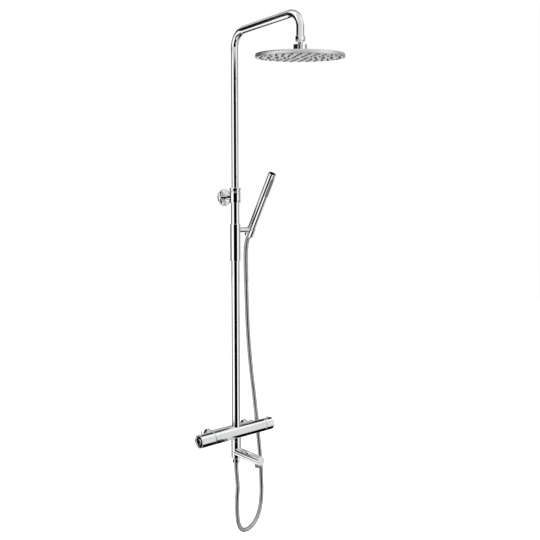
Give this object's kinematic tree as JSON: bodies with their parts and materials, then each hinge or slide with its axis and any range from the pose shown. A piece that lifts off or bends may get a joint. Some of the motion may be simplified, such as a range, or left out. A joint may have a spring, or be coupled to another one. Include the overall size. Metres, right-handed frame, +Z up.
{
  "type": "rainfall shower column",
  "caption": "Wall-hung chrome shower column: telescopic riser, round overhead shower, sliding stick hand shower with metal hose, thermostatic bar mixer and bath spout.",
  "frame": {"origin": "centre of the wall plate's back face, on the wall", "axes": "+Z up along the riser, +Y into the wall, +X to the right of a user who faces the wall"},
  "size_m": [0.294, 0.473, 1.6248],
  "materials": {
    "chrome": "polished chrome plate",
    "steel": "plain steel fastener",
    "spray_plate": "satin steel of the overhead shower",
    "hose_steel": "polished wound metal hose",
    "brass": "machined brass",
    "white_plastic": "moulded acetal",
    "grey_plastic": "moulded plastic",
    "rubber": "black rubber",
    "silicone": "dark silicone"
  },
  "bodies": {
    "fixed": {"wall_plate": "steel", "wall_escutcheon": "chrome", "wall_bracket": "chrome", "stub_set_screw": "steel", "collar_grub_screw": "steel", "clamp_ring": "chrome", "clamp_seal": "rubber", "riser_lower_tube": "chrome", "riser_base_seal": "rubber", "mixer_body": "chrome", "inlet_nut_left": "chrome", "inlet_nut_right": "chrome", "inlet_filter_left": "rubber", "inlet_filter_right": "rubber", "check_valve_left": "white_plastic", "check_valve_right": "white_plastic", "thermostatic_cartridge": "white_plastic", "flow_cartridge": "white_plastic", "outlet_core": "brass", "outlet_collar": "chrome", "spout_o_ring": "rubber", "spout_retaining_ring": "chrome", "hose_nut_lower": "chrome", "hose_washer": "rubber"},
    "riser_guide": {"riser_guide_bush": "white_plastic", "riser_guide_o_ring": "rubber"},
    "arm": {"riser_upper_tube": "chrome", "ball_joint_nut": "chrome"},
    "ball_seat": {"ball_seat_ring": "white_plastic"},
    "head": {"head_ball": "chrome", "head_boss": "chrome", "head_shell": "spray_plate", "head_spray_plate": "spray_plate", "head_nozzle_mat": "silicone", "head_rim_seal": "rubber"},
    "temperature_control": {"temperature_handle": "chrome", "temperature_end_cap": "chrome", "temperature_pin": "chrome", "temperature_spindle": "brass", "temperature_handle_screw": "steel"},
    "flow_control": {"flow_handle": "chrome", "flow_end_cap": "chrome", "flow_pin": "chrome", "flow_spindle": "brass", "flow_handle_screw": "steel"},
    "spout": {"spout_body": "chrome", "spout_aerator": "grey_plastic", "aerator_insert": "grey_plastic"},
    "slider": {"slider_sleeve": "chrome", "slider_liner_lower": "white_plastic", "slider_liner_upper": "white_plastic", "holder_arm": "chrome", "shower_hose": "hose_steel"},
    "holder": {"holder_friction_washer": "white_plastic", "holder_cradle": "chrome"},
    "handset": {"handset_hose_nut": "chrome", "handset_body": "chrome", "handset_top_cap": "chrome", "handset_spray_strip": "grey_plastic"}
  },
  "joints": [
    {"name": "riser_height", "type": "slide", "parent": "fixed", "child": "riser_guide", "axis": [0, 0, 1], "range_m": [-0.35, 0.1]},
    {"name": "arm_swivel", "type": "hinge", "parent": "riser_guide", "child": "arm", "pos_m": [0, -0.058, 0], "axis": [0, 0, 1], "range_deg": [-45, 45]},
    {"name": "head_swivel", "type": "hinge", "parent": "arm", "child": "ball_seat", "pos_m": [0, -0.353, 0.4255], "axis": [0, 0, 1], "continuous": true},
    {"name": "head_tilt", "type": "hinge", "parent": "ball_seat", "child": "head", "pos_m": [0, -0.353, 0.4255], "axis": [0.7547, -0.6561, 0], "range_deg": [-23, 7]},
    {"name": "temperature_turn", "type": "hinge", "parent": "fixed", "child": "temperature_control", "pos_m": [-0.12, -0.058, -0.759], "axis": [1, 0, 0], "range_deg": [-110, 110]},
    {"name": "flow_turn", "type": "hinge", "parent": "fixed", "child": "flow_control", "pos_m": [0.13, -0.058, -0.759], "axis": [1, 0, 0], "range_deg": [-65, 70]},
    {"name": "spout_swivel", "type": "hinge", "parent": "fixed", "child": "spout", "pos_m": [0, -0.058, -0.822], "axis": [0, 0, 1], "range_deg": [-60, 60]},
    {"name": "slider_slide", "type": "slide", "parent": "fixed", "child": "slider", "axis": [0, 0, 1], "range_m": [-0.45, 0.06], "deforming": ["shower_hose"]},
    {"name": "holder_tilt", "type": "hinge", "parent": "slider", "child": "holder", "pos_m": [0.0637, -0.058, -0.104], "axis": [1, 0, 0], "range_deg": [-10, 10]},
    {"name": "handset_spin", "type": "hinge", "parent": "holder", "child": "handset", "pos_m": [0.0637, -0.058, -0.104], "axis": [0, -0.5165, 0.8563], "continuous": true}
  ]
}
